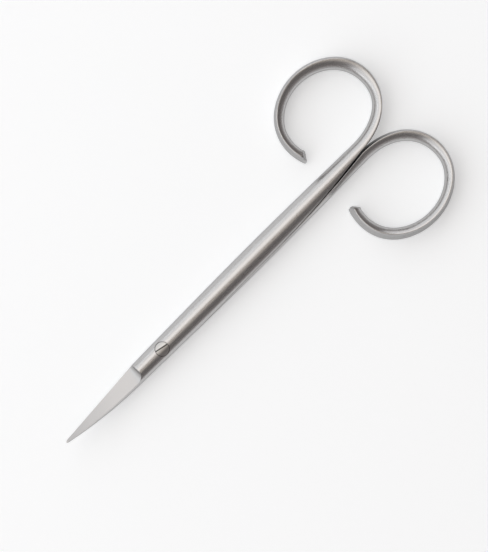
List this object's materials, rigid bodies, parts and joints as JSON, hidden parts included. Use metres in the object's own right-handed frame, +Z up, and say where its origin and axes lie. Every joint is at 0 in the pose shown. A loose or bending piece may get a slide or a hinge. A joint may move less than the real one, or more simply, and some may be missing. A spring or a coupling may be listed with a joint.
{
  "type": "curved cuticle scissors",
  "caption": "Slim curved scissors: half-round steel limbs that close into a round rod, upward-curved ground blades, open finger bows and a flush slotted pivot screw.",
  "frame": {"origin": "middle of the closed scissors' outline on the surface they lie on, on the axis of the closed rod", "axes": "+X from the blade tips towards the finger bows, +Y towards the front limb's finger bow, +Z up along the pivot's axis, towards the screw head and the way the blades curve"},
  "size_m": [0.095, 0.041, 0.0061],
  "materials": {
    "limb_steel": "polished stainless steel with fine drawn lines, satin-ground blade facet",
    "screw_steel": "stainless steel, ground flush and polished with the limb"
  },
  "bodies": {
    "back_half": {"back_limb": "limb_steel", "pivot_screw": "screw_steel"},
    "front_half": {"front_limb": "limb_steel"}
  },
  "joints": [
    {"name": "pivot", "type": "hinge", "parent": "back_half", "child": "front_half", "pos_m": [-0.0209, 0, 0.00245], "axis": [0, 0, 1], "range_deg": [0, 135]}
  ]
}
